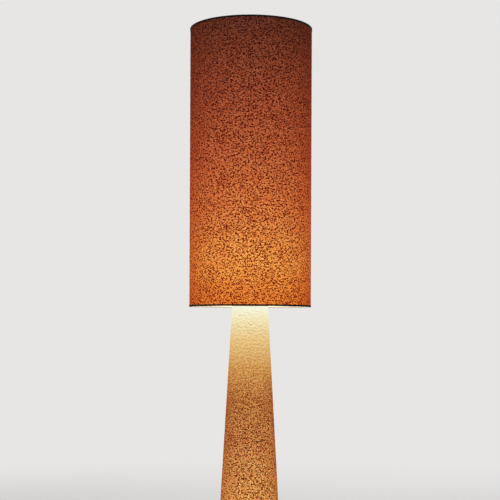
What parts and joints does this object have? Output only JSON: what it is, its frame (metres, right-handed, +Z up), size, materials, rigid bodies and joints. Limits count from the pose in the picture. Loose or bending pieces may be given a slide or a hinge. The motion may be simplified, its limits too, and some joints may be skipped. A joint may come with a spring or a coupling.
{
  "type": "column floor lamp",
  "caption": "Tall fabric drum shade over a tapered fabric column, lit from inside by a lampholder in the shade and one low in the column, on a weighted base.",
  "frame": {"origin": "on the floor under the lamp's axis, at the underside of the felt ring", "axes": "+Z up along the column, +Y towards the back, where the fabric's seam and the cord outlet are, +X to the right seen from the front"},
  "size_m": [0.3516, 0.3516, 1.6],
  "materials": {
    "boucle_fabric": "slubby boucle in rust and tan, backed with a liner, lit from behind",
    "white_liner": "smooth translucent white film, matt",
    "black_binding": "narrow woven tape, folded over the edge",
    "white_wire": "white powder coat",
    "white_steel": "white powder coat",
    "black_steel": "fine textured black powder coat",
    "zinc_steel": "zinc plated",
    "felt": "pressed felt",
    "black_rubber": "moulded, satin",
    "black_lead": "smooth sheath",
    "white_plastic": "moulded, satin",
    "white_ceramic": "unglazed, fine",
    "brass": "plain, drawn",
    "opal_glass": "opal, satin, lit from inside",
    "nickel": "nickel plated, rolled thread",
    "black_glass": "fused black insulator",
    "solder": "tinned"
  },
  "bodies": {
    "stand": {"foot_pad": "felt", "base_plate": "black_steel", "base_bolt": "zinc_steel", "base_washer": "zinc_steel", "pole_socket": "zinc_steel", "pole": "zinc_steel", "pole_plug": "zinc_steel", "column_liner": "white_liner", "column_fabric": "boucle_fabric", "column_bottom_hoop": "white_wire", "column_top_hoop": "white_wire", "column_bottom_binding": "black_binding", "column_top_binding": "black_binding", "column_lid": "white_steel", "cord_bush": "black_rubber", "lamp_bridge": "zinc_steel", "bridge_screws": "zinc_steel", "terminal_block": "white_plastic", "terminal_screws": "zinc_steel", "upper_lead": "black_lead", "lower_lead": "black_lead", "lower_nipple": "brass", "lower_lock_nuts": "zinc_steel", "lower_holder_cap": "white_plastic", "lower_holder_insert": "white_ceramic", "lower_holder_shell": "brass", "lower_holder_contact": "brass", "lower_holder_skirt": "white_plastic", "upper_nipple": "brass", "upper_lock_nut": "zinc_steel", "upper_holder_cap": "white_plastic", "upper_holder_insert": "white_ceramic", "upper_holder_shell": "brass", "upper_holder_contact": "brass", "upper_holder_skirt": "white_plastic"},
    "shade": {"shade_carrier": "white_wire", "shade_top_hoop": "white_wire", "shade_liner": "white_liner", "shade_fabric": "boucle_fabric", "shade_top_binding": "black_binding", "shade_bottom_binding": "black_binding"},
    "ring": {"shade_ring": "white_plastic"},
    "upper_bulb": {"upper_bulb_globe": "opal_glass", "upper_bulb_cap": "nickel", "upper_bulb_insulator": "black_glass", "upper_bulb_contact": "solder"},
    "lower_bulb": {"lower_bulb_globe": "opal_glass", "lower_bulb_cap": "nickel", "lower_bulb_insulator": "black_glass", "lower_bulb_contact": "solder"}
  },
  "joints": [
    {"name": "shade_turn", "type": "hinge", "parent": "stand", "child": "shade", "pos_m": [0, 0, 0.8576], "axis": [0, 0, 1], "continuous": true},
    {"name": "ring_loosen", "type": "slide", "parent": "stand", "child": "ring", "axis": [0, 0, 1], "range_m": [0, 0.012]},
    {"name": "upper_bulb_out", "type": "slide", "parent": "stand", "child": "upper_bulb", "axis": [0, 0, 1], "range_m": [0, 0.03]},
    {"name": "lower_bulb_out", "type": "slide", "parent": "stand", "child": "lower_bulb", "axis": [0, 0, 1], "range_m": [0, 0.03]}
  ]
}
